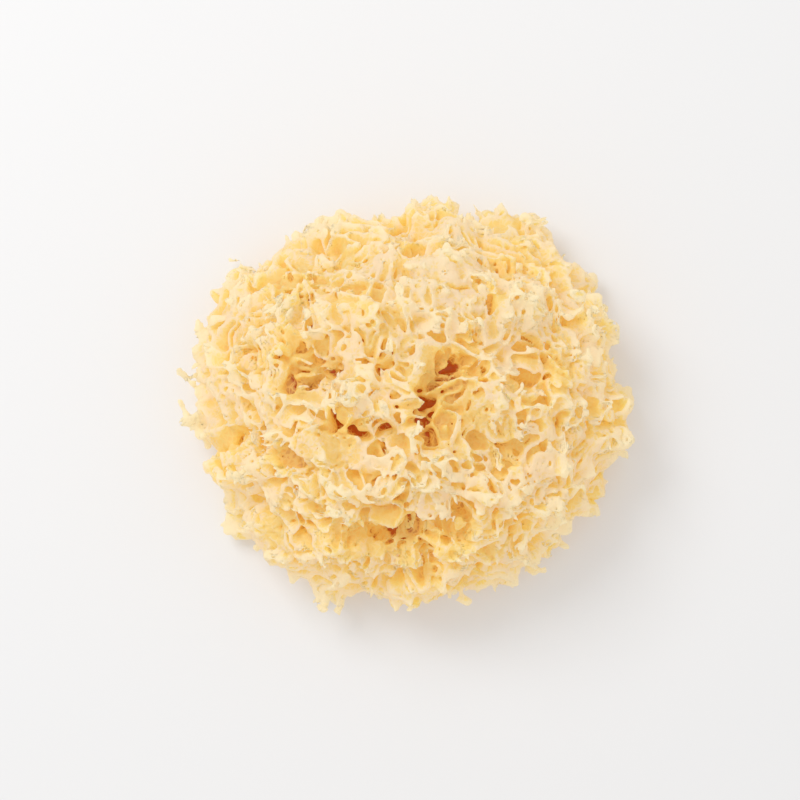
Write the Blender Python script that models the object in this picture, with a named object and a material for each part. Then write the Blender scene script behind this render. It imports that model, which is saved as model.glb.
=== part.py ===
"""A dried snow fungus head, resting on its flat cut base.

The fruiting body grew as one thing and forks at its foot, as a coral does: every main frond springs from one knob,
the base, and opens into a ruffled rosette. Seen from above, four crown fronds stand up in the middle and nine rim
fronds lean out round them. The origin is the middle of the head's box on the plane of the cut face, +X is the longer
way across, and +Z is up.
"""

import math

import bmesh
import bpy
from mathutils import Vector

# The plain dome that the fronds reach, in metres.
DOME_HALF_LENGTH = 0.0619
DOME_HALF_WIDTH = 0.0588
DOME_HEIGHT = 0.0580

# The base: the knob that was cut off the wood. The fronds point away from its middle, which is HEART, and each one
# sits on a flat seat that lies SEAT from there.
HEART = Vector((0.0, 0.0, 0.0100))
SEAT = 0.0140
SEAT_GAP = 0.0004
KNOB_RADIUS = 0.0170
CUT_RADIUS = 0.0150
FLARE_RADIUS = 0.0168
FLARE_HEIGHT = 0.0028
FLARE_WEAR = 0.03
NECK_RADIUS = 0.0156
NECK_HEIGHT = 0.0064
KNOB_SIDES = 32
KNOB_RINGS = 5

# What every frond has.
FROND_GAP = 0.00036
UNDERSIDE_SLOPE = math.radians(-7.5)
CREST_THICKNESS = 0.0022
VALLEY_DEPTH = 0.0110
PIT_DEPTH = 0.0090
CORNER_ROUNDING = 60.0
FROND_SEGMENTS = 40
SEARCH_ANGLE = math.radians(75.0)
SEARCH_STEPS = 30

# Its three crests run round its middle. Each lies at a share of the way out to the border, swings in and out by some
# of that way, and dips below the dome by up to twice the sum of its dips.
LIP_PLACE = 0.93
LIP_SWING = 0.07
LIP_CRIMP_DIP = 0.0015
LIP_TWIST_DIP = 0.0010
MIDDLE_PLACE = 0.62
MIDDLE_RUFFLE_SWING = 0.08
MIDDLE_FOLD_SWING = 0.06
MIDDLE_DIP = 0.0018
CORE_PLACE = 0.30
CORE_FOLD_SWING = 0.06
CORE_TWIST_SWING = 0.05
CORE_DIP = 0.0012

# name, compass direction and slope of its middle in degrees, reach beside the plain dome,
# ruffles round its lip, and folds in its inner crest.
FRONDS = (
    ("frond_crown_north", 84.0, 61.0, 1.00, 9, 4),
    ("frond_crown_east", 18.0, 57.0, 0.97, 10, 5),
    ("frond_crown_south", -64.0, 59.0, 1.00, 9, 3),
    ("frond_crown_west", 172.0, 63.0, 0.98, 10, 4),
    ("frond_rim_east", -2.0, 17.0, 1.00, 10, 4),
    ("frond_rim_north_east", 37.0, 19.0, 1.03, 9, 5),
    ("frond_rim_north", 74.0, 17.0, 0.98, 9, 3),
    ("frond_rim_north_west", 113.0, 18.0, 0.97, 10, 4),
    ("frond_rim_west", 152.0, 17.0, 1.04, 10, 5),
    ("frond_rim_south_west", 193.0, 18.0, 0.97, 9, 4),
    ("frond_rim_south", 235.0, 17.0, 1.00, 10, 4),
    ("frond_rim_low", 277.0, 14.0, 0.97, 9, 5),
    ("frond_rim_south_east", 318.0, 19.0, 1.00, 10, 3),
)

FROND_COLOUR = (0.93, 0.76, 0.44, 1.0)
BASE_COLOUR = (0.72, 0.44, 0.16, 1.0)


def pointing(compass, slope):
    """The unit vector at that compass angle and slope above the horizon, in radians."""
    level = math.cos(slope)
    return Vector((level * math.cos(compass), level * math.sin(compass), math.sin(slope)))


def dome_radius(way):
    """How far the plain dome lies from the heart in a direction."""
    rise = DOME_HEIGHT - HEART.z
    return 1.0 / math.sqrt(
        (way.x / DOME_HALF_LENGTH) ** 2 + (way.y / DOME_HALF_WIDTH) ** 2 + (way.z / rise) ** 2
    )


def middles():
    """The unit vector through the middle of each frond, by name."""
    return {row[0]: pointing(math.radians(row[1]), math.radians(row[2])) for row in FRONDS}


def room(name, ways, way):
    """Over 0 where a direction belongs to this frond, and 0 on the rounded border with its neighbours."""
    own = ways[name]
    closeness = [-CORNER_ROUNDING * (own - other).dot(way) for key, other in ways.items() if key != name]
    closeness.append(-CORNER_ROUNDING * (way.z - math.sin(UNDERSIDE_SLOPE)))
    nearest = max(closeness)
    crowd = sum(math.exp(value - nearest) for value in closeness)
    return -(nearest + math.log(crowd)) / CORNER_ROUNDING


def border_angle(name, ways, tangent):
    """The angle from the middle of a frond to its border, going one way round."""
    own = ways[name]
    inside, outside = 0.0, SEARCH_ANGLE
    for _ in range(SEARCH_STEPS):
        angle = (inside + outside) / 2
        way = own * math.cos(angle) + tangent * math.sin(angle)
        if room(name, ways, way) > 0.0:
            inside = angle
        else:
            outside = angle
    return inside


def link(name, points, faces, colour, roughness):
    """A mesh object with its own material."""
    mesh = bpy.data.meshes.new(name)
    mesh.from_pydata(points, [], faces)
    mesh.update()
    material = bpy.data.materials.new(name)
    material.use_nodes = True
    surface = material.node_tree.nodes["Principled BSDF"]
    surface.inputs["Base Color"].default_value = colour
    surface.inputs["Roughness"].default_value = roughness
    surface.inputs["Metallic"].default_value = 0.0
    mesh.materials.append(material)
    mesh.shade_smooth()
    mesh.set_sharp_from_angle(angle=math.radians(50.0))
    made = bpy.data.objects.new(name, mesh)
    bpy.context.scene.collection.objects.link(made)
    return made


def loft(first, rings, last):
    """Points and faces of a closed skin: a fan from the first point, a band between each two rings, and a last fan."""
    count = len(rings[0])
    points = [first, *(point for ring in rings for point in ring), last]
    end = len(points) - 1
    faces = []
    for here in range(count):
        after = (here + 1) % count
        faces.append((0, 1 + after, 1 + here))
        for level in range(len(rings) - 1):
            low = 1 + level * count
            high = low + count
            faces.append((low + here, low + after, high + after))
            faces.append((low + here, high + after, high + here))
        top = 1 + (len(rings) - 1) * count
        faces.append((end, top + here, top + after))
    return points, faces


def frond(name, ruffles, folds, reach, turn):
    """One frond: a closed rosette whose foot sits on the knob and whose lip, fold and heart stand up as thin crests."""
    ways = middles()
    own = ways[name]
    east = own.cross(Vector((0.0, 0.0, 1.0))).normalized()
    north = own.cross(east)
    spare = FROND_GAP / (2 * SEAT)
    thin = CREST_THICKNESS / (reach * dome_radius(own))
    sides = []
    for step in range(FROND_SEGMENTS):
        compass = 2 * math.pi * step / FROND_SEGMENTS
        tangent = east * math.cos(compass) + north * math.sin(compass)
        border = border_angle(name, ways, tangent) - spare

        def at(angle, depth, tangent=tangent):
            way = own * math.cos(angle) + tangent * math.sin(angle)
            return HEART + way * (reach * dome_radius(way) - depth)

        ruffle = math.sin(ruffles * compass + turn)
        crimp = math.sin((ruffles + 4) * compass + 3.1 * turn)
        fold = math.sin(folds * compass + 2.3 * turn)
        twist = math.sin((folds - 2) * compass + 0.7 * turn)
        lip = border * (LIP_PLACE + LIP_SWING * ruffle)
        middle = border * (MIDDLE_PLACE + MIDDLE_RUFFLE_SWING * ruffle + MIDDLE_FOLD_SWING * fold)
        core = border * (CORE_PLACE + CORE_FOLD_SWING * fold + CORE_TWIST_SWING * twist)
        lip_depth = LIP_CRIMP_DIP * (1 - crimp) + LIP_TWIST_DIP * (1 + twist)
        middle_depth = MIDDLE_DIP * (1 + fold)
        core_depth = CORE_DIP * (1 - twist)
        foot = own * math.cos(border) + tangent * math.sin(border)
        sides.append((
            HEART + foot * (SEAT / math.cos(border)),
            at(lip, lip_depth),
            at(lip - thin, lip_depth),
            at((lip + middle - thin) / 2, VALLEY_DEPTH),
            at(middle, middle_depth),
            at(middle - thin, middle_depth),
            at((middle + core - thin) / 2, VALLEY_DEPTH),
            at(core, core_depth),
            at(core - thin, core_depth),
        ))
    rings = list(zip(*sides))
    heel = HEART + own * SEAT
    pit = HEART + own * (reach * dome_radius(own) - PIT_DEPTH)
    points, faces = loft(heel, rings, pit)
    return link(name, points, faces, FROND_COLOUR, 0.55)


def base():
    """The knob: a flat cut face, a flared edge, a neck, and a round top cut to a flat seat for each frond."""
    outline = [
        (CUT_RADIUS, 0.0),
        (FLARE_RADIUS, FLARE_HEIGHT),
        (NECK_RADIUS, NECK_HEIGHT),
    ]
    for level in range(KNOB_RINGS):
        slope = math.pi / 2 * level / KNOB_RINGS
        outline.append((KNOB_RADIUS * math.cos(slope), HEART.z + KNOB_RADIUS * math.sin(slope)))
    rings = []
    for radius, height in outline:
        ring = []
        for side in range(KNOB_SIDES):
            compass = 2 * math.pi * side / KNOB_SIDES
            worn = 1.0 - FLARE_WEAR * (1 + math.sin(3 * compass)) * (height < NECK_HEIGHT)
            ring.append(Vector((radius * worn * math.cos(compass), radius * worn * math.sin(compass), height)))
        rings.append(ring)
    points, faces = loft(Vector((0.0, 0.0, 0.0)), rings, HEART + Vector((0.0, 0.0, KNOB_RADIUS)))
    knob = link("base", points, faces, BASE_COLOUR, 0.7)
    cut = bmesh.new()
    cut.from_mesh(knob.data)
    for way in middles().values():
        whole = cut.verts[:] + cut.edges[:] + cut.faces[:]
        seat = HEART + way * (SEAT - SEAT_GAP)
        made = bmesh.ops.bisect_plane(cut, geom=whole, plane_co=seat, plane_no=way, clear_outer=True)
        rim = [item for item in made["geom_cut"] if isinstance(item, bmesh.types.BMEdge)]
        bmesh.ops.edgenet_fill(cut, edges=rim)
    bmesh.ops.recalc_face_normals(cut, faces=cut.faces[:])
    bmesh.ops.triangulate(cut, faces=cut.faces[:])
    cut.to_mesh(knob.data)
    cut.free()
    return knob


def centre(pieces):
    """Slides the head level, so that its box is centred over the origin."""
    across = [point.co for piece in pieces for point in piece.data.vertices]
    middle_x = (max(point.x for point in across) + min(point.x for point in across)) / 2
    middle_y = (max(point.y for point in across) + min(point.y for point in across)) / 2
    for piece in pieces:
        for point in piece.data.vertices:
            point.co.x -= middle_x
            point.co.y -= middle_y


def main():
    for old in list(bpy.data.objects):
        bpy.data.objects.remove(old)
    pieces = [base()]
    for index, (name, _, _, reach, ruffles, folds) in enumerate(FRONDS):
        pieces.append(frond(name, ruffles, folds, reach, turn=1.9 * index))
    centre(pieces)


main()
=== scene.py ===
import math

import bpy
import numpy as np
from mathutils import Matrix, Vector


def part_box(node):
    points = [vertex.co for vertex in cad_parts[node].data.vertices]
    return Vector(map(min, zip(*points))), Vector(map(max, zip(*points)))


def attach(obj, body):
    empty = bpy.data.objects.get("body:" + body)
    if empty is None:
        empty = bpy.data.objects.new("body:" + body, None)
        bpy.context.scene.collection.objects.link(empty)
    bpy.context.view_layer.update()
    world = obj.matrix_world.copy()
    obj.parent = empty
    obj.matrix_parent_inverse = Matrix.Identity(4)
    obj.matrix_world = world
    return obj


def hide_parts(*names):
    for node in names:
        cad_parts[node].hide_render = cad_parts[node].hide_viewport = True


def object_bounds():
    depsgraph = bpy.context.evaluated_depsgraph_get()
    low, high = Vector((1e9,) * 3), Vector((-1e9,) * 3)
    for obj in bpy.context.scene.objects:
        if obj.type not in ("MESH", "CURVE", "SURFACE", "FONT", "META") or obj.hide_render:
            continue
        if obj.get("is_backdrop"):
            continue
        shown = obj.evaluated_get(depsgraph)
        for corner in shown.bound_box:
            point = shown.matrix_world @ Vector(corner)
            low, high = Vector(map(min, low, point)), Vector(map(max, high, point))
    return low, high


# A dried head of snow fungus on a pale table. Sizes are in metres, and spots are measured from the heart
# that every frond springs from, unless a note says otherwise.
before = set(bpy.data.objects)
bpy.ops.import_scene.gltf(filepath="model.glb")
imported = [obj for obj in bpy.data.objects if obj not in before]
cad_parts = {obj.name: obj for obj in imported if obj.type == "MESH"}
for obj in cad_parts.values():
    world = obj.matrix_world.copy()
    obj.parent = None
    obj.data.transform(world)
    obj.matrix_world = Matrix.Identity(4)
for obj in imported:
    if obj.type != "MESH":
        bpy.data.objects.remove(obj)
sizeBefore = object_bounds()
random = np.random.default_rng(17)
tiny = 1e-9  # keeps a division or a direction from failing
farAway = 1.0  # farther than anything here
print("frame loaded:", len(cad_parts), "nodes")

# Where every frond points: compass direction, slope (both in degrees) and reach beside the plain dome.
fronds = {
    "frond_crown_north": (84.0, 61.0, 1.00),
    "frond_crown_east": (18.0, 57.0, 0.97),
    "frond_crown_south": (-64.0, 59.0, 1.00),
    "frond_crown_west": (172.0, 63.0, 0.98),
    "frond_rim_east": (-2.0, 17.0, 1.00),
    "frond_rim_north_east": (37.0, 19.0, 1.03),
    "frond_rim_north": (74.0, 17.0, 0.98),
    "frond_rim_north_west": (113.0, 18.0, 0.97),
    "frond_rim_west": (152.0, 17.0, 1.04),
    "frond_rim_south_west": (193.0, 18.0, 0.97),
    "frond_rim_south": (235.0, 17.0, 1.00),
    "frond_rim_low": (277.0, 14.0, 0.97),
    "frond_rim_south_east": (318.0, 19.0, 1.00),
}

# The dome that the rims of the fronds reach. Its outer ring lies below the slope with the ring's sine, and
# fades out over the span above it.
dome = {
    "heartHeight": 0.0100,
    "halfLength": 0.0619,
    "halfWidth": 0.0588,
    "rise": 0.0467,
    "blending": 40.0,  # how sharply one frond's reach gives way to the next one's
    "undersideSlope": -7.5,
    "ringSine": 0.05,
    "ringSpan": 0.50,
}


def unit(v):
    return v / np.linalg.norm(v, axis=-1, keepdims=True)


def between(ends, share):
    return ends[0] + (ends[1] - ends[0]) * share


def growing(value, start, span):
    # 0 up to the start, 1 past the span, and even in between
    return np.clip((value - start) / span, 0, 1)


def hump(far, width):
    return np.exp(-(far / width) ** 2)


def smaller(a, b, rounding):
    # the smaller of two fields, rounded where they meet
    share = np.clip(0.5 + 0.5 * (b - a) / rounding, 0, 1)
    return b + (a - b) * share - rounding * share * (1 - share)


def pointing(compass, slope):
    compass, slope = math.radians(compass), math.radians(slope)
    level = math.cos(slope)
    return np.array([level * math.cos(compass), level * math.sin(compass), math.sin(slope)])


def softNoise(wavelength, waves=16, spread=(0.75, 1.3)):
    # a smooth random field made of plane waves, mostly between -1.5 and 1.5
    number = unit(random.normal(size=(waves, 3))) * 2 * math.pi / wavelength
    number *= random.uniform(*spread, (waves, 1))
    phase = random.uniform(0, 2 * math.pi, waves)
    number, phase = number.astype(np.float32), phase.astype(np.float32)
    return lambda p: np.cos(p.astype(np.float32) @ number.T + phase).sum(-1) / math.sqrt(waves / 2)


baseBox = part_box("base")
heart = np.array([(baseBox[0][k] + baseBox[1][k]) / 2 for k in (0, 1)] + [dome["heartHeight"]])
middles = np.array([pointing(compass, slope) for compass, slope, reach in fronds.values()])
reaches = np.array([reach for compass, slope, reach in fronds.values()])
lowest = math.sin(math.radians(dome["undersideSlope"]))


def reachOf(ways):
    # how far the dome reaches in each direction; the fronds' own reaches are blended where two of them meet
    weight = np.exp(dome["blending"] * (ways @ middles.T - 1))
    plain = 1 / np.sqrt((ways[:, 0] / dome["halfLength"]) ** 2 + (ways[:, 1] / dome["halfWidth"]) ** 2
                        + (ways[:, 2] / dome["rise"]) ** 2)
    return plain * (weight @ reaches) / weight.sum(-1)


def lowness(ways):
    # 0 on the crown, 1 on the outer ring
    return 1 - growing(ways[:, 2], dome["ringSine"], dome["ringSpan"])


# Clefts and pockets where the folds stay low: points in plan, how far they drop, how wide they are and how
# much browner their colour is, as if it lay that much deeper. The browning is partly the flesh's own and
# partly painted shade in the clefts and holes.
clefts = [
    {"path": [(0.0102, 0.0129), (0.0032, 0.0045), (0.0060, -0.0109)],
     "drop": 0.0080, "width": 0.0030, "brownAndShade": 0.0015},
    {"path": [(-0.0178, -0.0403), (0.0018, -0.0389), (0.0172, -0.0347)],
     "drop": 0.0070, "width": 0.0036, "brownAndShade": 0.0006},
    {"path": [(-0.0300, 0.0109), (-0.0260, 0.0125)], "drop": 0.0060, "width": 0.0045, "brownAndShade": 0.0010},
    {"path": [(0.0071, 0.0126)], "drop": 0.0070, "width": 0.0016, "brownAndShade": 0.0080},
    {"path": [(0.0123, 0.0128), (0.0137, 0.0124)], "drop": 0.0080, "width": 0.0015, "brownAndShade": 0.0085},
    {"path": [(0.0111, 0.0078)], "drop": 0.0060, "width": 0.0018, "brownAndShade": 0.0060},
    {"path": [(-0.0001, 0.0053)], "drop": 0.0060, "width": 0.0016, "brownAndShade": 0.0060},
    {"path": [(-0.0169, -0.0064)], "drop": 0.0120, "width": 0.0022, "brownAndShade": 0.0100},
    {"path": [(-0.0234, -0.0035), (-0.0226, -0.0070)], "drop": 0.0110, "width": 0.0019, "brownAndShade": 0.0080},
    {"path": [(-0.0368, -0.0129)], "drop": 0.0110, "width": 0.0026, "brownAndShade": 0.0070},
    {"path": [(-0.0332, 0.0064)], "drop": 0.0080, "width": 0.0019, "brownAndShade": 0.0050},
    {"path": [(-0.0231, 0.0132)], "drop": 0.0070, "width": 0.0019, "brownAndShade": 0.0050},
    {"path": [(0.0298, -0.0115)], "drop": 0.0090, "width": 0.0022, "brownAndShade": 0.0060},
    {"path": [(0.0186, -0.0356)], "drop": 0.0060, "width": 0.0020, "brownAndShade": 0.0050},
]

# Broad swells, with a place in plan, a size and a rise: bright ones stand out, and golden hollows lie back.
# Their colour is painted paler on the swells and more golden in the hollows, as painted light and painted
# shade.
swells = [
    {"at": (0.0116, 0.0395), "size": 0.0070, "rise": 0.0018},
    {"at": (0.0304, 0.0297), "size": 0.0060, "rise": 0.0018},
    {"at": (0.0284, 0.0137), "size": 0.0060, "rise": 0.0018},
    {"at": (0.0043, 0.0241), "size": 0.0070, "rise": 0.0020},
    {"at": (-0.0091, 0.0361), "size": 0.0065, "rise": 0.0016},
    {"at": (-0.0332, -0.0006), "size": 0.0055, "rise": 0.0018},
    {"at": (-0.0178, 0.0017), "size": 0.0050, "rise": 0.0016},
    {"at": (0.0077, -0.0244), "size": 0.0065, "rise": 0.0018},
    {"at": (0.0391, -0.0297), "size": 0.0070, "rise": 0.0016},
    {"at": (-0.0332, 0.0176), "size": 0.0070, "rise": -0.0024},
    {"at": (0.0080, 0.0003), "size": 0.0070, "rise": -0.0016},
    {"at": (0.0273, 0.0403), "size": 0.0060, "rise": -0.0020},
    {"at": (0.0441, 0.0095), "size": 0.0060, "rise": -0.0018},
    {"at": (-0.0388, 0.0353), "size": 0.0080, "rise": -0.0016},
    {"at": (0.0200, -0.0080), "size": 0.0060, "rise": -0.0014},
    {"at": (-0.0060, -0.0400), "size": 0.0110, "rise": -0.0020},
]

# Where the outline of the head stands out or draws in: compass direction, how far, and how wide in degrees.
lobesOut = [
    {"compass": 15, "out": -0.0012, "width": 10},
    {"compass": 44, "out": -0.0016, "width": 7},
    {"compass": 60, "out": 0.0050, "width": 8},
    {"compass": 99, "out": -0.0036, "width": 11},
    {"compass": 120, "out": 0.0034, "width": 7},
    {"compass": 137, "out": -0.0024, "width": 8},
    {"compass": 168, "out": -0.0016, "width": 5},
    {"compass": 181, "out": 0.0044, "width": 7},
    {"compass": 218, "out": 0.0026, "width": 14},
    {"compass": 254, "out": 0.0014, "width": 9},
    {"compass": 318, "out": -0.0026, "width": 12},
]

# The frilled surface of the head. Lobes, teeth and a fringe lower the rims, each by its drop, at places
# its size apart. Everything sways to and fro, and the rims curl over. Near the heart it is stiff.
frill = {
    "lobeSize": 0.0110,
    "lobeDrop": 0.0032,
    "lobeRange": (-1.0, 1.8),
    "toothSize": 0.0050,
    "toothDrop": 0.0010,
    "fringeSize": 0.0022,
    "fringeDrop": 0.0002,
    "toothRange": (-1.5, 1.5),
    "ringCalm": 0.6,  # how much smaller the teeth are on the outer ring
    "outlineGain": 1.6,  # the outline's own lobes go by this times the lowness, less the loss
    "outlineLoss": 0.6,
    "swayBigSize": 0.024,
    "swayBig": 0.0016,
    "swaySmallSize": 0.0085,
    "swaySmall": 0.0010,
    "curlSize": 0.0060,
    "curl": 0.0010,
    "curlDepth": 0.0035,
    "stiffRadius": 0.016,
    "looseOver": 0.030,
}
lobes = softNoise(frill["lobeSize"])
teeth = softNoise(frill["toothSize"])
fringe = softNoise(frill["fringeSize"])
swayBig = [softNoise(frill["swayBigSize"]) for axis in range(3)]
swaySmall = [softNoise(frill["swaySmallSize"]) for axis in range(3)]
curls = [softNoise(frill["curlSize"]) for axis in range(3)]


def farFrom(path, spots):
    # how far each spot lies from a path, in plan
    spots = spots[..., :2]
    best = np.full(spots.shape[:-1], farAway)
    for start, end in zip(path, path[1:] or path):
        start, run = np.array(start), np.array(end) - np.array(start)
        share = np.clip(((spots - start) @ run) / max(run @ run, tiny), 0, 1)
        best = np.minimum(best, np.linalg.norm(spots - start - share[..., None] * run, axis=-1))
    return best


def swelling(spots):
    # how far the swells stand out
    rise = np.zeros(len(spots))
    for swell in swells:
        rise += swell["rise"] * hump(farFrom([swell["at"]], spots), swell["size"])
    return rise


def rimDrop(spots):
    # how far below the dome the rims stay at each spot
    ring = lowness(unit(spots))
    drop = frill["lobeDrop"] * (0.5 + 0.5 * np.clip(lobes(spots), *frill["lobeRange"]))
    drop = np.maximum(drop - swelling(spots), 0)
    calm = 1 - frill["ringCalm"] * ring
    drop += frill["toothDrop"] * calm * np.abs(np.clip(teeth(spots), *frill["toothRange"]))
    drop += frill["fringeDrop"] * np.clip(fringe(spots), *frill["toothRange"])
    for cleft in clefts:
        drop += cleft["drop"] * hump(farFrom(cleft["path"], spots), cleft["width"])
    compass = np.degrees(np.arctan2(spots[..., 1], spots[..., 0]))
    outline = np.clip(frill["outlineGain"] * ring - frill["outlineLoss"], 0, 1)
    for lobe in lobesOut:
        aside = (compass - lobe["compass"] + 180) % 360 - 180
        drop -= lobe["out"] * outline * hump(aside, lobe["width"])
    return drop


def swayed(spots):
    # everything leans a little to and fro, more so toward the rims, which curl over
    radius = np.linalg.norm(spots, axis=1)
    loose = growing(radius, frill["stiffRadius"], frill["looseOver"])
    depth = reachOf(spots / radius[:, None]) - radius
    curl = frill["curl"] * np.clip(1 - depth / frill["curlDepth"], 0, 1)
    sway = [frill["swayBig"] * big(spots) + frill["swaySmall"] * small(spots) + curl * curly(spots)
            for big, small, curly in zip(swayBig, swaySmall, curls)]
    return spots + np.stack(sway, axis=-1) * loose[:, None]


# The underside slopes down outward, and fine pleats run in to the base on it.
underside = {
    "pleats": 61,
    "pleatDepth": 0.0006,
    "wander": 2,
    "wanderSize": 0.0200,
    "smoothRadius": 0.012,
    "pleatedOver": 0.020,
}
pleats = softNoise(underside["wanderSize"])


def undersideAt(p):
    # how far each spot lies above the underside
    radius = np.linalg.norm(p, axis=1)
    compass = np.arctan2(p[:, 1], p[:, 0])
    wave = underside["pleatDepth"] * np.sin(underside["pleats"] * compass + underside["wander"] * pleats(p))
    pleated = growing(radius, underside["smoothRadius"], underside["pleatedOver"])
    return p[:, 2] - lowest * radius + wave * pleated


# The flesh is made of thin walls between uneven cells, and closes up toward the heart. The floor and the
# rounding are given for the crown and for the outer ring.
foam = {
    "voxel": 0.00047,
    "lowCorner": (-0.0665, -0.0625, -0.0120),
    "highCorner": (0.0665, 0.0625, 0.0500),
    "emptyValue": -0.001,
    "heartDepth": 0.006,  # so far below the floor it is all flesh
    "overRims": 0.007,  # so far over the dome it is all air
    "underMargin": 0.002,
    "wall": 0.00075,
    "ringThickening": 0.00012,
    "steepness": (0.4, 3.0),
    "closingDepth": 0.0050,  # from here down the openings in the walls close
    "closingOver": 0.003,
    "closingWidth": 0.004,
    "floor": (0.0085, 0.0050),  # how deep the folds are
    "floorNoise": 0.0120,
    "floorUnevenness": 0.002,
    "sagFrom": 0.0003,  # how far from its junctions a rim begins to sag
    "sagOver": 0.0016,
    "wholeFrom": 0.30,  # how far across the view a wall lies that stays or goes as a whole
    "wholeOver": 0.35,
    "standOut": 0.0010,
    "rounding": (0.00020, 0.00040),
    "edgeRounding": 0.0003,
    "clearOfTable": 0.0003,
    "softening": 6,  # what a grid point weighs beside each of its neighbours
    "hiddenFilling": 0.0001,  # the value that air gets where nobody sees it
    "crowdReach": 3,  # in grid points
}
floors = softNoise(foam["floorNoise"])

# The cells themselves: how far apart they are on the crown and on the outer ring, and where they lie. They
# are long toward the heart, and below the knee they are stretched.
cells = {
    "apart": (0.0037, 0.0086),
    "unevenness": 0.48,
    "unevenSize": 0.020,
    "unevenRange": (-1.2, 1.5),
    "packing": 0.84,  # the share of that distance that two cells keep at least
    "tries": 60000,
    "underBorder": 0.15,
    "overRims": 0.004,
    "underFloor": 0.010,
    "kneeSlope": 38.0,
    "lowStretch": 1.6,
    "deepeningSines": (0.2, 0.7),
    "deepening": (0.50, 0.75),
    "block": 0.0050,  # places are worked through in blocks of this size
    "search": 0.0085,  # with the cells that lie this near to a block's middle
}


def deepening(ways):
    # how much less the cells change toward the heart than across
    return np.interp(ways[:, 2], cells["deepeningSines"], cells["deepening"])


def foamPlace(ways, radius, reach):
    # where a spot lies among the cells, in a space in which they are all about as long as they are wide
    slope = np.arcsin(np.clip(ways[:, 2], -1, 1))
    knee = math.radians(cells["kneeSlope"])
    bent = np.where(slope < knee, knee - (knee - slope) * cells["lowStretch"], slope)
    flat = unit(ways[:, :2] + tiny)
    far = reach - deepening(ways) * (reach - radius)
    return np.concatenate([flat * (np.cos(bent) * far)[:, None], (np.sin(bent) * far)[:, None]], axis=1)


def scatterCells():
    # random places in the outer layer of the head, where no cell lies too close to one before it
    size = softNoise(cells["unevenSize"])
    ways = unit(random.normal(size=(cells["tries"], 3)))
    ways = ways[ways[:, 2] > lowest - cells["underBorder"]]
    reach = reachOf(ways)
    layer = foam["floor"][0] + cells["underFloor"]
    radius = reach + cells["overRims"] - layer * random.random(len(ways))
    places = foamPlace(ways, radius, reach)
    apart = between(cells["apart"], lowness(ways))
    apart *= 1 + cells["unevenness"] * np.clip(size(places), *cells["unevenRange"])
    kept = np.zeros((len(places), 3))
    count = 0
    for place, gap in zip(places, apart):
        if count and ((kept[:count] - place) ** 2).sum(1).min() < (cells["packing"] * gap) ** 2:
            continue
        kept[count] = place
        count += 1
    return kept[:count]


def cellWalls(places, seeds):
    # for every place: how far the two nearest walls are, and the two cells that the nearest lies between
    block = np.floor(places / cells["block"]).astype(np.int64)
    block -= block.min(0)
    size = block.max(0) + 1
    key = (block[:, 0] * size[1] + block[:, 1]) * size[2] + block[:, 2]
    order = np.argsort(key, kind="stable")
    starts = np.nonzero(np.diff(key[order], prepend=-1))[0]
    nearest = np.full(len(places), farAway, np.float32)
    second = np.full(len(places), farAway, np.float32)
    pair = np.zeros((len(places), 2), int)
    for first, last in zip(starts, np.append(starts[1:], len(order))):
        members = order[first:last]
        here = places[members]
        middle = (here.min(0) + here.max(0)) / 2
        near = np.nonzero(((seeds - middle) ** 2).sum(1) < cells["search"] ** 2)[0]
        if len(near) < 3:
            continue
        a = (here - middle).astype(np.float32)
        b = (seeds[near] - middle).astype(np.float32)
        far = (a ** 2).sum(1)[:, None] + (b ** 2).sum(1) - 2 * a @ b.T
        rows = np.arange(len(a))[:, None]
        best = np.argpartition(far, 2, axis=1)[:, :3]
        best = best[rows, np.argsort(far[rows, best], axis=1)]
        value = far[rows, best]
        for field, rank in ((nearest, 1), (second, 2)):
            apart = np.linalg.norm(b[best[:, rank]] - b[best[:, 0]], axis=1)
            field[members] = (value[:, rank] - value[:, 0]) / (2 * apart)
        pair[members] = near[best[:, :2]]
    return nearest, second, pair


# What the wall between two cells is like: narrow ribs round a large opening, webs round a smaller hole, or
# closed. The first two have their shares on the crown and on the outer ring, from walls that stand upright
# to walls that lie across the view.
webs = {
    "ribs": {"width": (0.0003, 0.0007), "crown": (0.14, 0.48), "ring": (0.0, 0.02)},
    "holes": {"width": (0.0008, 0.0015), "crown": (0.16, 0.32), "ring": (0.02, 0.06)},
    "closedWidth": 0.006,
    "ringSine": -0.1,
    "ringSpan": 0.45,
    "saddleShare": 0.80,  # the share of the walls whose rims sag between their junctions
    "saddleDepth": 0.0036,
    "ringSaddle": 0.5,  # how much less they sag on the outer ring
    "saddleShuffle": 7.31,
    "kindPrimes": (7919, 104729, 9973),
    "widthPrimes": (6101, 3571, 9941),
}


def wallNumber(one, two, primes):
    # a number from 0 to 1 that always belongs to the wall between the same two cells
    return (one * primes[0] + two * primes[1]) % primes[2] / primes[2]


def webWidths(pair, seeds):
    # for the wall between two cells: how wide its webs are, how far its rim sags between the junctions, how
    # much it lies across the view, and how far out it is
    one, two = pair.min(1), pair.max(1)
    kind = wallNumber(one, two, webs["kindPrimes"])
    number = wallNumber(one, two, webs["widthPrimes"])
    across = np.abs((unit(seeds[two] - seeds[one] + tiny) * unit(seeds[one] + seeds[two])).sum(1)) ** 2
    ring = 1 - growing(unit(seeds[one])[:, 2], webs["ringSine"], webs["ringSpan"])
    ribs, holes = [between(web["crown"], across) * (1 - ring) + between(web["ring"], across) * ring
                   for web in (webs["ribs"], webs["holes"])]
    width = np.where(kind < ribs, between(webs["ribs"]["width"], number), webs["closedWidth"])
    holed = (kind >= ribs) & (kind < ribs + holes)
    width = np.where(holed, between(webs["holes"]["width"], number), width)
    chosen = np.clip((number * webs["saddleShuffle"]) % 1 - 1 + webs["saddleShare"], 0, 1)
    saddle = webs["saddleDepth"] * chosen / webs["saddleShare"] * (1 - webs["ringSaddle"] * ring)
    far = np.linalg.norm(seeds[one] + seeds[two], axis=1) / 2
    return width, saddle, across, far


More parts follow.
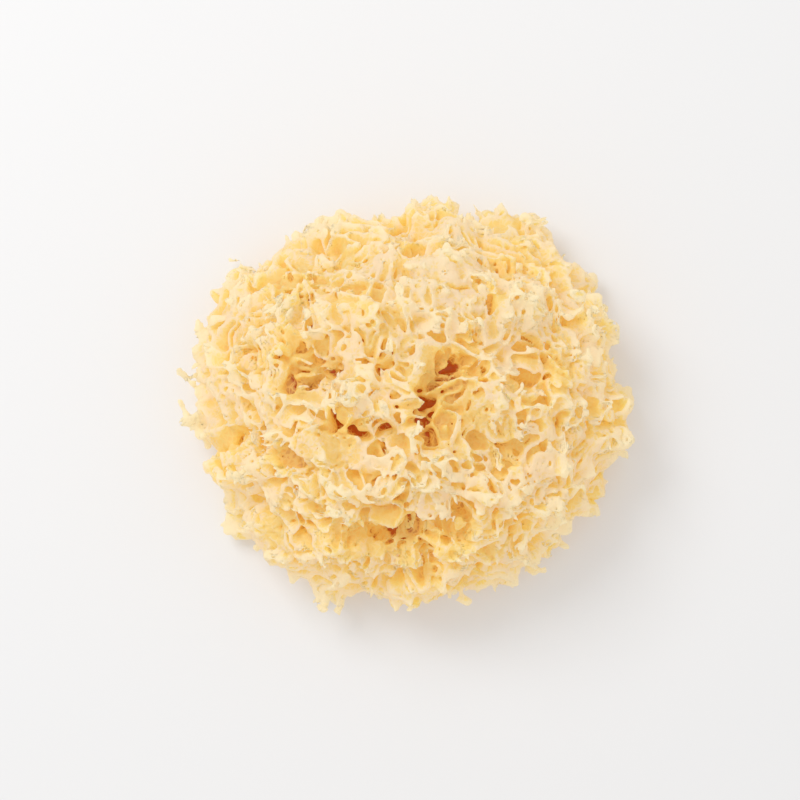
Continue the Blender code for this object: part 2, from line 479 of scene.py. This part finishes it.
def steepness(field, step):
    # how fast the field changes from one grid point to the next, the larger of both sides along each axis
    total = np.zeros_like(field)
    for axis in range(3):
        change = np.abs(np.diff(field, axis=axis, append=0))
        total += np.maximum(change, np.roll(change, 1, axis)) ** 2
    return np.sqrt(total) / step


def fleshGrid(seeds):
    # a grid of values that are above zero inside the flesh, and where its lowest corner lies
    step = foam["voxel"]
    low = np.array(foam["lowCorner"])
    count = np.ceil((np.array(foam["highCorner"]) - low) / step).astype(int)
    axes = [low[k] + step * np.arange(count[k]) for k in range(3)]
    points = np.stack(np.meshgrid(*axes, indexing="ij"), -1).reshape(-1, 3).astype(np.float32)
    radius = np.linalg.norm(points, axis=1)
    reach = reachOf(points / radius[:, None])
    above = points[:, 2] > lowest * radius - foam["underMargin"]
    coreReach = reach - foam["floor"][0] - foam["heartDepth"]
    core = np.nonzero(above & (radius <= coreReach))[0]
    shell = np.nonzero(above & (radius > coreReach) & (radius < reach + foam["overRims"]))[0]
    inside = np.full(len(points), foam["emptyValue"], np.float32)
    inside[core] = undersideAt(points[core])
    p = swayed(points[shell])
    radius = np.linalg.norm(p, axis=1)
    ways = p / radius[:, None]
    reach = reachOf(ways)
    depth = reach - rimDrop(ways * reach[:, None]) - radius
    nearest, second, pair = cellWalls(foamPlace(ways, radius, reach), seeds)
    # the sways and the long cells change the walls' thickness, which this evens out
    field = np.full(len(inside), farAway, np.float32)
    field[shell] = nearest
    nearest /= np.clip(steepness(field.reshape(count), step).reshape(-1)[shell], *foam["steepness"])
    width, saddle, across, far = webWidths(pair, seeds)
    width += foam["closingWidth"] * growing(depth, foam["closingDepth"], foam["closingOver"])
    ring = lowness(ways)
    rounding = between(foam["rounding"], ring)
    thickness = foam["wall"] + foam["ringThickening"] * ring
    value = smaller(thickness / 2 - nearest, width - second, rounding)
    floor = between(foam["floor"], ring) + foam["floorUnevenness"] * np.clip(floors(p), -1, 1)
    value = -smaller(-value, floor - depth, rounding)
    # between the junctions a rim sags, some more than others
    sag = saddle * growing(second, foam["sagFrom"], foam["sagOver"])
    # a wall across the view stays or goes as a whole, so that no slivers are left of it
    whole = growing(across, foam["wholeFrom"], foam["wholeOver"])
    middleDepth = (reach - far) / deepening(ways) + depth - (reach - radius)
    kept = np.minimum((depth - sag) * (1 - whole) + middleDepth * whole, depth + foam["standOut"])
    value = smaller(value, kept, foam["edgeRounding"])
    inside[shell] = smaller(value, undersideAt(p), foam["rounding"][0])
    aboveTable = axes[2] + heart[2] - foam["clearOfTable"]
    return np.minimum(inside.reshape(count), aboveTable.astype(np.float32)), low


# Small holes in the webs, each stretched one way and lengthened toward the heart.
pores = {
    "count": 240,
    "size": (0.00035, 0.00070),
    "stretch": (1.4, 3.2),
    "depth": (0.0003, 0.0042),
    "lengthening": 2.4,
    "lowestSine": 0.35,
    "cutSizes": 2.6,  # how many of its sizes round its middle a hole may reach
}


def pierce(grid, low, step):
    ways = unit(random.normal(size=(4 * pores["count"], 3)))
    ways = ways[ways[:, 2] > pores["lowestSine"]][:pores["count"]]
    sizes = random.uniform(*pores["size"], len(ways))
    stretches = random.uniform(*pores["stretch"], len(ways))
    sideways = unit(np.cross(ways, random.normal(size=ways.shape)))
    reach = reachOf(ways)
    radius = reach - rimDrop(ways * reach[:, None]) - random.uniform(*pores["depth"], len(ways))
    for way, side, size, stretch, spot in zip(ways, sideways, sizes, stretches, ways * radius[:, None]):
        first = np.floor((spot - pores["cutSizes"] * size - low) / step).astype(int)
        last = first + int(2 * pores["cutSizes"] * size / step) + 2
        box = tuple(slice(max(0, a), b) for a, b in zip(first, np.minimum(last, grid.shape)))
        axes = [low[k] + step * np.arange(box[k].start, box[k].stop) - spot[k] for k in range(3)]
        away = np.stack(np.meshgrid(*axes, indexing="ij"), -1)
        along, beside = away @ way, away @ side
        across = np.maximum((away ** 2).sum(-1) - along ** 2 - beside ** 2, 0)
        far = np.sqrt(across + (beside / stretch) ** 2 + (along / pores["lengthening"]) ** 2)
        grid[box] = np.minimum(grid[box], far - size)


def seenFromOutside(air):
    # the air that a straight look from outside reaches, in about a hundred directions, and the air beside it
    seen = np.zeros_like(air)
    slopes = (-1.0, -0.5, 0.0, 0.5, 1.0)
    sideSlopes = (-1.0, -0.5, 0.0, 0.3)
    for axis, sign in ((2, -1), (0, 1), (0, -1), (1, 1), (1, -1)):
        layers = np.moveaxis(air, axis, 0)[::sign]
        found = np.moveaxis(seen, axis, 0)[::sign]
        for across in slopes:
            for along in slopes if axis == 2 else sideSlopes:
                clear = layers[0].copy()
                for k in range(1, len(layers)):
                    move = [round(k * slope) - round((k - 1) * slope) for slope in (across, along)]
                    if move != [0, 0]:
                        clear = np.roll(clear, move, (0, 1))
                    clear = clear & layers[k]
                    found[k] |= clear
    grown = seen.copy()
    for axis in range(3):
        grown |= np.roll(seen, 1, axis) | np.roll(seen, -1, axis)
    return grown


def crowdingOf(grid):
    # how much flesh there is around each spot: little at a thin rim, much down in a pocket
    full = (grid > 0).astype(np.float32)
    for axis in range(3):
        full = sum(np.roll(full, k, axis) for k in range(-foam["crowdReach"], foam["crowdReach"] + 1))
    return full / (2 * foam["crowdReach"] + 1) ** 3


def sampled(field, p, low, step):
    # the field's value at each spot, blended from the eight grid points round it
    at = np.clip((p - low) / step, 0, np.array(field.shape) - 2)
    cell = at.astype(int)
    share = at - cell
    total = np.zeros(len(p))
    for corner in range(8):
        side = np.array([corner & 1, corner >> 1 & 1, corner >> 2 & 1])
        weight = np.where(side, share, 1 - share).prod(1)
        i, j, k = (cell + side).T
        total += weight * field[i, j, k]
    return total


seeds = scatterCells()
print("cells scattered:", len(seeds))
grid, gridLow = fleshGrid(seeds)
pierce(grid, gridLow, foam["voxel"])
for axis in range(3):
    beside = np.roll(grid, 1, axis) + foam["softening"] * grid + np.roll(grid, -1, axis)
    grid = beside / (foam["softening"] + 2)
air = grid <= 0
hidden = air & ~seenFromOutside(air)
grid[hidden] = foam["hiddenFilling"]
crowding = crowdingOf(grid)
print("flesh filled:", int((grid > 0).sum()), "of", grid.size, "with", int(hidden.sum()), "hidden")

# The skin that is drawn round the flesh: how much and how often it is evened out, and its limit in all.
skin = {
    "evening": 0.4,
    "evenings": 2,
    "mostTriangles": 900000,
}


def skinOf(grid, low, step):
    # a smooth skin round the grid's solid part: one corner in every cell that the surface crosses
    stride = np.array([grid.shape[1] * grid.shape[2], grid.shape[2], 1])
    flat = grid.reshape(-1)
    corners, quads = [], []
    for axis in range(3):
        part = [slice(1, -1)] * 3
        onward = list(part)
        onward[axis] = slice(2, None)
        crossed = np.argwhere((grid[tuple(part)] > 0) != (grid[tuple(onward)] > 0)) + 1
        at = crossed @ stride
        one, two = flat[at], flat[at + stride[axis]]
        spot = crossed.astype(float)
        spot[:, axis] += one / (one - two)
        a, b = (axis + 1) % 3, (axis + 2) % 3
        around = np.stack([at - stride[a] - stride[b], at - stride[b], at, at - stride[a]], 1)
        around[one < 0] = around[one < 0][:, ::-1]
        corners.append(np.repeat(spot, 4, axis=0))
        quads.append(around)
    corners = np.concatenate(corners)
    index = np.unique(np.concatenate(quads).ravel(), return_inverse=True)[1].ravel()
    number = np.bincount(index)
    spots = np.stack([np.bincount(index, corners[:, k]) / number for k in range(3)], 1)
    return low + step * spots, index.reshape(-1, 4)


def islandLabels(count, quads):
    # the label of the island that every corner belongs to
    label = np.arange(count)
    while True:
        lowestLabel = label[quads].min(1)
        fresh = label.copy()
        for k in range(4):
            np.minimum.at(fresh, quads[:, k], lowestLabel)
        fresh = fresh[fresh]
        if (fresh == label).all():
            return label
        label = fresh


def largestIsland(spots, quads):
    # the corners and faces of the largest part that hangs together
    label = islandLabels(len(spots), quads)[quads[:, 0]]
    quads = quads[label == np.bincount(label).argmax()]
    used, quads = np.unique(quads, return_inverse=True)
    return spots[used], quads.reshape(-1, 4)


def evened(spots, quads):
    # draws every corner toward the middles of the faces round it
    number = np.bincount(quads.ravel())
    for _ in range(skin["evenings"]):
        centres = np.repeat(spots[quads].mean(1), 4, axis=0)
        mean = np.stack([np.bincount(quads.ravel(), centres[:, k]) / number for k in range(3)], 1)
        spots = spots + skin["evening"] * (mean - spots)
    return spots


skinSpots, skinQuads = largestIsland(*skinOf(grid, gridLow, foam["voxel"]))
skinSpots = evened(skinSpots, skinQuads)
quadOwner = (unit(skinSpots[skinQuads[:, 0]]) @ middles.T).argmax(1)
print("skin drawn:", 2 * len(skinQuads), "triangles")

# How deep a spot lies as far as its colour goes. Deeper flesh is coloured darker and more golden, partly
# its own colour, which browns toward the heart, and partly painted shade in the folds, pockets and holes.
# Rims that stay low count in part, swells look higher than they are (painted light on them, painted shade in
# the hollows), and the brown and painted shade of a cleft spreads a little. The underside is tan, and
# browner toward the base.
shade = {
    "dropShare": 0.50,
    "ivoryDepth": 0.0010,
    "swellLightAndShade": 1.3,
    "brownAndShadeSpread": 1.3,
    "tanRadius": (0.016, 0.050),
    "tanDepth": (0.0105, 0.0040),
    "underFull": 0.0030,  # how far up from the underside it is tan, and then how far it fades
    "underFade": 0.0030,
}


def depthBelow(p):
    # how deep each spot lies, as its colour shows it with partly painted shade, and how far out it is
    p = swayed(p)
    radius = np.linalg.norm(p, axis=1)
    ways = p / radius[:, None]
    tops = ways * reachOf(ways)[:, None]
    depth = np.linalg.norm(tops, axis=1) - radius - shade["dropShare"] * rimDrop(tops) - shade["ivoryDepth"]
    # painted light and shade: swells are coloured paler and hollows more golden than their height gives
    depth = depth - shade["swellLightAndShade"] * swelling(tops)
    for cleft in clefts:
        # each cleft's colour is pushed deeper and browner: partly its own flesh, partly painted shade
        depth += cleft["brownAndShade"] * hump(farFrom(cleft["path"], tops), shade["brownAndShadeSpread"] * cleft["width"])
    tan = np.interp(radius, shade["tanRadius"], shade["tanDepth"])
    under = 1 - growing(undersideAt(p), shade["underFull"], shade["underFade"])
    return depth + under * np.minimum(tan - depth, 0), lowness(ways)


def buildMesh(name, verts, quads):
    mesh = bpy.data.meshes.new(name)
    mesh.vertices.add(len(verts))
    mesh.vertices.foreach_set("co", verts.ravel())
    mesh.loops.add(quads.size)
    mesh.loops.foreach_set("vertex_index", quads.ravel())
    mesh.polygons.add(len(quads))
    mesh.polygons.foreach_set("loop_start", np.arange(len(quads)) * 4)
    mesh.polygons.foreach_set("use_smooth", np.ones(len(quads), bool))
    mesh.update(calc_edges=True)
    return mesh


def frondSheets(name, who):
    # one frond's part of the skin, thinned out, with the three values that its colour is made from
    used, faces = np.unique(skinQuads[quadOwner == who], return_inverse=True)
    mesh = buildMesh(name, skinSpots[used] + heart, faces.reshape(-1, 4))
    piece = bpy.data.objects.new(name, mesh)
    bpy.context.collection.objects.link(piece)
    thinning = piece.modifiers.new("thinning", "DECIMATE")
    thinning.ratio = min(1.0, skin["mostTriangles"] / (2 * len(skinQuads)))
    fine = bpy.data.meshes.new_from_object(piece.evaluated_get(bpy.context.evaluated_depsgraph_get()))
    piece.modifiers.clear()
    piece.data = fine
    bpy.data.meshes.remove(mesh)
    fine.name = name
    corners = np.zeros(3 * len(fine.vertices), np.float32)
    fine.vertices.foreach_get("co", corners)
    corners = corners.reshape(-1, 3) - heart
    depth, outer = depthBelow(corners)
    millimetres = depth.astype(np.float32) * 1000
    crowd = sampled(crowding, corners, gridLow, foam["voxel"])
    for label, values in (("rimDepth", millimetres), ("crowding", crowd), ("outerRing", outer)):
        attribute = fine.attributes.new(label, "FLOAT", "POINT")
        attribute.data.foreach_set("value", values.astype(np.float32))
    return piece


def mathNode(nodes, links, kind, *values):
    node = nodes.new("ShaderNodeMath")
    node.operation = kind
    for socket, value in zip(node.inputs, values):
        if isinstance(value, float):
            socket.default_value = value
        else:
            links.new(value, socket)
    return node.outputs[0]


def noiseNode(nodes, links, vector, scale, detail, distortion=0.0):
    node = nodes.new("ShaderNodeTexNoise")
    links.new(vector, node.inputs["Vector"])
    if isinstance(scale, float):
        node.inputs["Scale"].default_value = scale
    else:
        links.new(scale, node.inputs["Scale"])
    node.inputs["Detail"].default_value = detail
    node.inputs["Distortion"].default_value = distortion
    return node


def colourRamp(nodes, links, share, stops):
    ramp = nodes.new("ShaderNodeValToRGB")
    links.new(share, ramp.inputs["Fac"])
    while len(ramp.color_ramp.elements) < len(stops):
        ramp.color_ramp.elements.new(0.5)
    for element, (position, colour) in zip(ramp.color_ramp.elements, stops):
        element.position = position
        element.color = (*colour, 1)
    return ramp.outputs["Color"]


def storedValue(nodes, name):
    node = nodes.new("ShaderNodeAttribute")
    node.attribute_name = name
    return node.outputs["Fac"]


def sizedGroup(name, output):
    # a node group that takes a size and puts out one value, with how often that size fits in a metre
    group = bpy.data.node_groups.new(name, "ShaderNodeTree")
    group.interface.new_socket(name="Size", in_out="INPUT", socket_type="NodeSocketFloat")
    group.interface.new_socket(name=output, in_out="OUTPUT", socket_type="NodeSocketFloat")
    given = group.nodes.new("NodeGroupInput")
    place = group.nodes.new("ShaderNodeTexCoord")
    often = mathNode(group.nodes, group.links, "DIVIDE", 1.0, given.outputs["Size"])
    out = group.nodes.new("NodeGroupOutput")
    return group, often, place.outputs["Object"], out.inputs[output]


# Fine drawn-up wrinkles of dried flesh, as a height for the bump. The fronds and the base both have them.
wrinkles = {
    "detail": 2.0,
    "distortion": 1.2,
    "fineTimes": 3.1,
    "fineDetail": 1.0,
    "fineShare": 0.25,
}


def dryWrinkles():
    group, often, place, out = sizedGroup("dry_wrinkles", "Height")
    nodes, links = group.nodes, group.links
    fineOften = mathNode(nodes, links, "MULTIPLY", often, wrinkles["fineTimes"])
    broad = noiseNode(nodes, links, place, often, wrinkles["detail"], wrinkles["distortion"])
    fine = noiseNode(nodes, links, place, fineOften, wrinkles["fineDetail"])
    swing = mathNode(nodes, links, "SUBTRACT", broad.outputs["Fac"], 0.5)
    ridge = mathNode(nodes, links, "ABSOLUTE", swing)
    height = mathNode(nodes, links, "MULTIPLY_ADD", fine.outputs["Fac"], wrinkles["fineShare"], ridge)
    links.new(height, out)
    return group


wrinkleGroup = dryWrinkles()


def wrinkleBump(nodes, links, size, strength):
    placed = nodes.new("ShaderNodeGroup")
    placed.node_tree = wrinkleGroup
    placed.inputs["Size"].default_value = size
    bump = nodes.new("ShaderNodeBump")
    bump.inputs["Strength"].default_value = strength
    bump.inputs["Distance"].default_value = size
    links.new(placed.outputs["Height"], bump.inputs["Height"])
    return bump.outputs["Normal"]


# A net of thin pale lines where the flesh has drawn together. It wanders by so many times its size, and its
# lines fade out from 1 to 0.
creases = {
    "wander": 1.6,
    "wanderTimes": 0.6,
    "wanderDetail": 1.0,
    "fade": (0.02, 0.20),
}


def drawnCreases():
    group, often, place, out = sizedGroup("drawn_creases", "Line")
    nodes, links = group.nodes, group.links
    wanderOften = mathNode(nodes, links, "MULTIPLY", often, creases["wanderTimes"])
    wander = noiseNode(nodes, links, place, wanderOften, creases["wanderDetail"])
    bend = nodes.new("ShaderNodeVectorMath")
    bend.operation = "MULTIPLY_ADD"
    links.new(wander.outputs["Color"], bend.inputs[0])
    links.new(mathNode(nodes, links, "DIVIDE", creases["wander"], often), bend.inputs[1])
    links.new(place, bend.inputs[2])
    net = nodes.new("ShaderNodeTexVoronoi")
    net.feature = "DISTANCE_TO_EDGE"
    links.new(bend.outputs["Vector"], net.inputs["Vector"])
    links.new(often, net.inputs["Scale"])
    line = nodes.new("ShaderNodeMapRange")
    line.inputs["From Min"].default_value = creases["fade"][0]
    line.inputs["From Max"].default_value = creases["fade"][1]
    line.inputs["To Min"].default_value = 1.0
    line.inputs["To Max"].default_value = 0.0
    links.new(net.outputs["Distance"], line.inputs["Value"])
    links.new(line.outputs["Result"], out)
    return group


# The dried flesh, from the rims inward: colours by their share of the colour depth, what shifts them, and
# how it lets light through. From ivory rims to dark red-brown deep down, the colours are partly the flesh's
# own and partly painted shade, and the pale rims are partly a painted highlight. The depth and the shifts
# are in millimetres.
flesh = {
    "colours": [
        (0.0, (0.975, 0.87, 0.58)),
        (0.08, (0.98, 0.835, 0.36)),
        (0.17, (0.985, 0.79, 0.235)),
        (0.34, (0.975, 0.735, 0.165)),
        (0.61, (0.95, 0.56, 0.09)),
        (0.86, (0.40, 0.05, 0.008)),
    ],
    "colourDepth": 15.0,
    "outerPaleness": 0.10,
    "patchSize": 0.018,
    "patchDetail": 3.0,
    "patchShift": 8.0,
    "pocketShading": 10.0,
    "openCrowding": 0.37,  # flesh less crowded than this is paler (painted highlight), and more crowded deeper (painted shade)
    "creaseSize": 0.0017,
    "creasePaleness": 2.0,
    "glow": 0.62,  # the share of the light that passes through
    "paintedGlow": 0.20,  # painted glow: a weak light in the flesh's own colour, for what thin flesh scatters inside itself
    "roughness": 0.50,
    "wrinkleSize": 0.0020,
    "wrinkleStrength": 0.38,
}


def fleshMaterial():
    material = bpy.data.materials.new("dried_flesh")
    material.use_nodes = True
    nodes, links = material.node_tree.nodes, material.node_tree.links
    nodes.clear()
    # patches of the head are paler or more golden, crowded flesh is deeper in colour as painted shade, and
    # creases are pale
    place = nodes.new("ShaderNodeTexCoord").outputs["Object"]
    patches = noiseNode(nodes, links, place, 1 / flesh["patchSize"], flesh["patchDetail"])
    shift = mathNode(nodes, links, "MULTIPLY_ADD", patches.outputs["Fac"], flesh["patchShift"],
                     -flesh["patchShift"] / 2)
    # painted shade: flesh crowded round a pocket is coloured deeper, and thin open rims paler
    pocketShade = mathNode(nodes, links, "MULTIPLY_ADD", storedValue(nodes, "crowding"), flesh["pocketShading"],
                      -flesh["openCrowding"] * flesh["pocketShading"])
    net = nodes.new("ShaderNodeGroup")
    net.node_tree = drawnCreases()
    net.inputs["Size"].default_value = flesh["creaseSize"]
    creased = mathNode(nodes, links, "MULTIPLY_ADD", net.outputs["Line"], -flesh["creasePaleness"], pocketShade)
    moved = mathNode(nodes, links, "ADD", storedValue(nodes, "rimDepth"), creased)
    moved = mathNode(nodes, links, "ADD", moved, shift)
    # the outer fronds are paler inside
    outer = storedValue(nodes, "outerRing")
    fade = mathNode(nodes, links, "MULTIPLY_ADD", outer, -flesh["outerPaleness"], 1.0)
    faded = mathNode(nodes, links, "MULTIPLY", moved, fade)
    share = mathNode(nodes, links, "DIVIDE", faded, flesh["colourDepth"])
    colour = colourRamp(nodes, links, share, flesh["colours"])
    normal = wrinkleBump(nodes, links, flesh["wrinkleSize"], flesh["wrinkleStrength"])
    body = nodes.new("ShaderNodeBsdfPrincipled")
    links.new(colour, body.inputs["Base Color"])
    links.new(normal, body.inputs["Normal"])
    body.inputs["Roughness"].default_value = flesh["roughness"]
    # painted glow: the flesh gives off a weak light in its own colour, which lifts its shaded pockets
    links.new(colour, body.inputs["Emission Color"])
    body.inputs["Emission Strength"].default_value = flesh["paintedGlow"]
    through = nodes.new("ShaderNodeBsdfTranslucent")
    links.new(colour, through.inputs["Color"])
    mix = nodes.new("ShaderNodeMixShader")
    mix.inputs["Fac"].default_value = flesh["glow"]
    links.new(body.outputs["BSDF"], mix.inputs[1])
    links.new(through.outputs["BSDF"], mix.inputs[2])
    out = nodes.new("ShaderNodeOutputMaterial")
    links.new(mix.outputs["Shader"], out.inputs["Surface"])
    return material


fleshLook = fleshMaterial()
total = 0
for who, name in enumerate(fronds):
    piece = frondSheets(name + "_sheets", who)
    piece.data.materials.append(fleshLook)
    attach(piece, "root")
    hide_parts(name)
    total += len(piece.data.loops) - 2 * len(piece.data.polygons)
print("sheets built:", total, "triangles")

# The base: the brown knob where the head was cut off the wood. Its profile is radius and height from the
# cut face up, with so many rows between two points. Its colours go by height, and the blotches mix them.
knob = {
    "profile": [(0.0030, 0.0), (0.0070, 0.0), (0.0110, 0.0), (0.0140, 0.0), (0.0148, 0.0002),
                (0.0156, 0.0010), (0.0162, 0.0028), (0.0158, 0.0046), (0.0152, 0.0064), (0.0150, 0.0084),
                (0.0146, 0.0105)],
    "columns": 160,
    "rows": 6,
    "folds": 23,
    "foldDepth": 0.0005,
    "foldWander": 2,
    "foldNoise": 0.0060,
    "foldedOver": 0.0030,
    "colours": [
        (0.10, (0.30, 0.10, 0.018)),
        (0.32, (0.62, 0.34, 0.10)),
        (0.60, (0.50, 0.20, 0.035)),
        (1.0, (0.50, 0.20, 0.035)),
    ],
    "colourRise": 350.0,  # a metre up from the cut face, from the start below
    "colourStart": -0.30,
    "blotchesPerMetre": 260.0,
    "blotchDetail": 4.0,
    "roughness": 0.72,
    "wrinkleSize": 0.0016,
    "wrinkleStrength": 0.55,
}
knobNoise = softNoise(knob["foldNoise"])


def knobMesh():
    profile = np.array(knob["profile"])
    at = np.linspace(0, len(profile) - 1, knob["rows"] * (len(profile) - 1) + 1)
    radius, height = (np.interp(at, np.arange(len(profile)), profile[:, k]) for k in (0, 1))
    compass = np.arange(knob["columns"]) * 2 * math.pi / knob["columns"]
    upright = np.clip(height / knob["foldedOver"], 0, 1)[:, None]
    spots = np.stack([radius[:, None] * np.cos(compass), radius[:, None] * np.sin(compass),
                      np.repeat(height[:, None], len(compass), axis=1)], -1)
    wave = np.sin(knob["folds"] * compass + knob["foldWander"] * knobNoise(spots)) - 1
    folded = knob["foldDepth"] * wave * upright
    spots[..., :2] *= (1 + folded / radius[:, None])[..., None]
    rows, columns = spots.shape[:2]
    grid = np.arange(rows * columns).reshape(rows, columns)
    onward = np.roll(grid, -1, axis=1)
    quads = np.stack([grid[:-1], grid[1:], onward[1:], onward[:-1]], -1).reshape(-1, 4)
    middle = np.full(columns // 2, rows * columns)
    fan = np.stack([grid[0, ::2], onward[0, ::2], np.roll(grid[0], -2)[::2], middle], -1)
    spots = np.concatenate([spots.reshape(-1, 3), [[0, 0, 0]]]) + heart * (1, 1, 0)
    return buildMesh("base_knob", spots, np.concatenate([quads, fan]))


def knobMaterial():
    material = bpy.data.materials.new("cut_base")
    material.use_nodes = True
    nodes, links = material.node_tree.nodes, material.node_tree.links
    body = nodes["Principled BSDF"]
    place = nodes.new("ShaderNodeTexCoord").outputs["Object"]
    split = nodes.new("ShaderNodeSeparateXYZ")
    links.new(place, split.inputs["Vector"])
    blotches = noiseNode(nodes, links, place, knob["blotchesPerMetre"], knob["blotchDetail"])
    height = mathNode(nodes, links, "MULTIPLY_ADD", split.outputs["Z"], knob["colourRise"],
                      knob["colourStart"])
    share = mathNode(nodes, links, "ADD", height, blotches.outputs["Fac"])
    links.new(colourRamp(nodes, links, share, knob["colours"]), body.inputs["Base Color"])
    normal = wrinkleBump(nodes, links, knob["wrinkleSize"], knob["wrinkleStrength"])
    links.new(normal, body.inputs["Normal"])
    body.inputs["Roughness"].default_value = knob["roughness"]
    return material


knobPiece = bpy.data.objects.new("base_knob", knobMesh())
knobPiece.data.materials.append(knobMaterial())
bpy.context.collection.objects.link(knobPiece)
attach(knobPiece, "root")
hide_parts("base")
print("base built:", len(knobPiece.data.polygons), "faces")

# A pale plain table under soft daylight from the upper left.
studio = {
    "tableSize": 8.0,
    "tableColour": (0.80, 0.80, 0.81),
    "tableRoughness": 0.8,
    "sky": (1.0, 0.99, 0.97),
    "skyStrength": 0.74,
    "lampPower": 4.4,
    "lampSize": 0.45,
    "lampPlace": (-0.45, 0.45, 0.75),
}

half = studio["tableSize"] / 2
table = bpy.data.meshes.new("table")
tableCorners = [(-half, -half, 0), (half, -half, 0), (half, half, 0), (-half, half, 0)]
table.from_pydata(tableCorners, [], [(0, 1, 2, 3)])
tableLook = bpy.data.materials.new("plain_table")
tableLook.use_nodes = True
tableBody = tableLook.node_tree.nodes["Principled BSDF"]
tableBody.inputs["Base Color"].default_value = (*studio["tableColour"], 1)
tableBody.inputs["Roughness"].default_value = studio["tableRoughness"]
table.materials.append(tableLook)
floor = bpy.data.objects.new("table", table)
bpy.context.collection.objects.link(floor)
floor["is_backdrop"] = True

sky = bpy.data.worlds.new("soft_daylight")
sky.use_nodes = True
sky.node_tree.nodes["Background"].inputs["Color"].default_value = (*studio["sky"], 1)
sky.node_tree.nodes["Background"].inputs["Strength"].default_value = studio["skyStrength"]
bpy.context.scene.world = sky

light = bpy.data.lights.new("window_light", "AREA")
light.energy = studio["lampPower"]
light.size = studio["lampSize"]
lamp = bpy.data.objects.new("window_light", light)
lamp.location = studio["lampPlace"]
lamp.rotation_euler = (-lamp.location).to_track_quat("-Z", "Y").to_euler()
bpy.context.collection.objects.link(lamp)
print("table and daylight set")

# The camera looks straight down. The field's width is measured at the height that it aims at.
shot = {
    "height": 0.75,
    "aimHeight": 0.020,
    "fieldWidth": 0.2240,
    "right": -0.0024,
    "up": 0.0017,
    "sensorMillimetres": 36.0,
    "farthest": 10,
    "gamma": 1.5,
}

lens = bpy.data.cameras.new("camera")
lens.sensor_width = shot["sensorMillimetres"]
lens.lens = shot["sensorMillimetres"] * (shot["height"] - shot["aimHeight"]) / shot["fieldWidth"]
lens.clip_end = shot["farthest"]
camera = bpy.data.objects.new("camera", lens)
camera.location = (shot["right"], shot["up"], shot["height"])
bpy.context.collection.objects.link(camera)
bpy.context.scene.camera = camera
bpy.context.scene.view_settings.view_transform = "Standard"
bpy.context.scene.view_settings.gamma = shot["gamma"]
print("camera set")

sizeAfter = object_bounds()
sizes = {"cad": [list(corner) for corner in sizeBefore], "visual": [list(corner) for corner in sizeAfter]}
for label, corners in sizes.items():
    print(label, "box:", [[round(1000 * value, 1) for value in corner] for corner in corners], "mm")
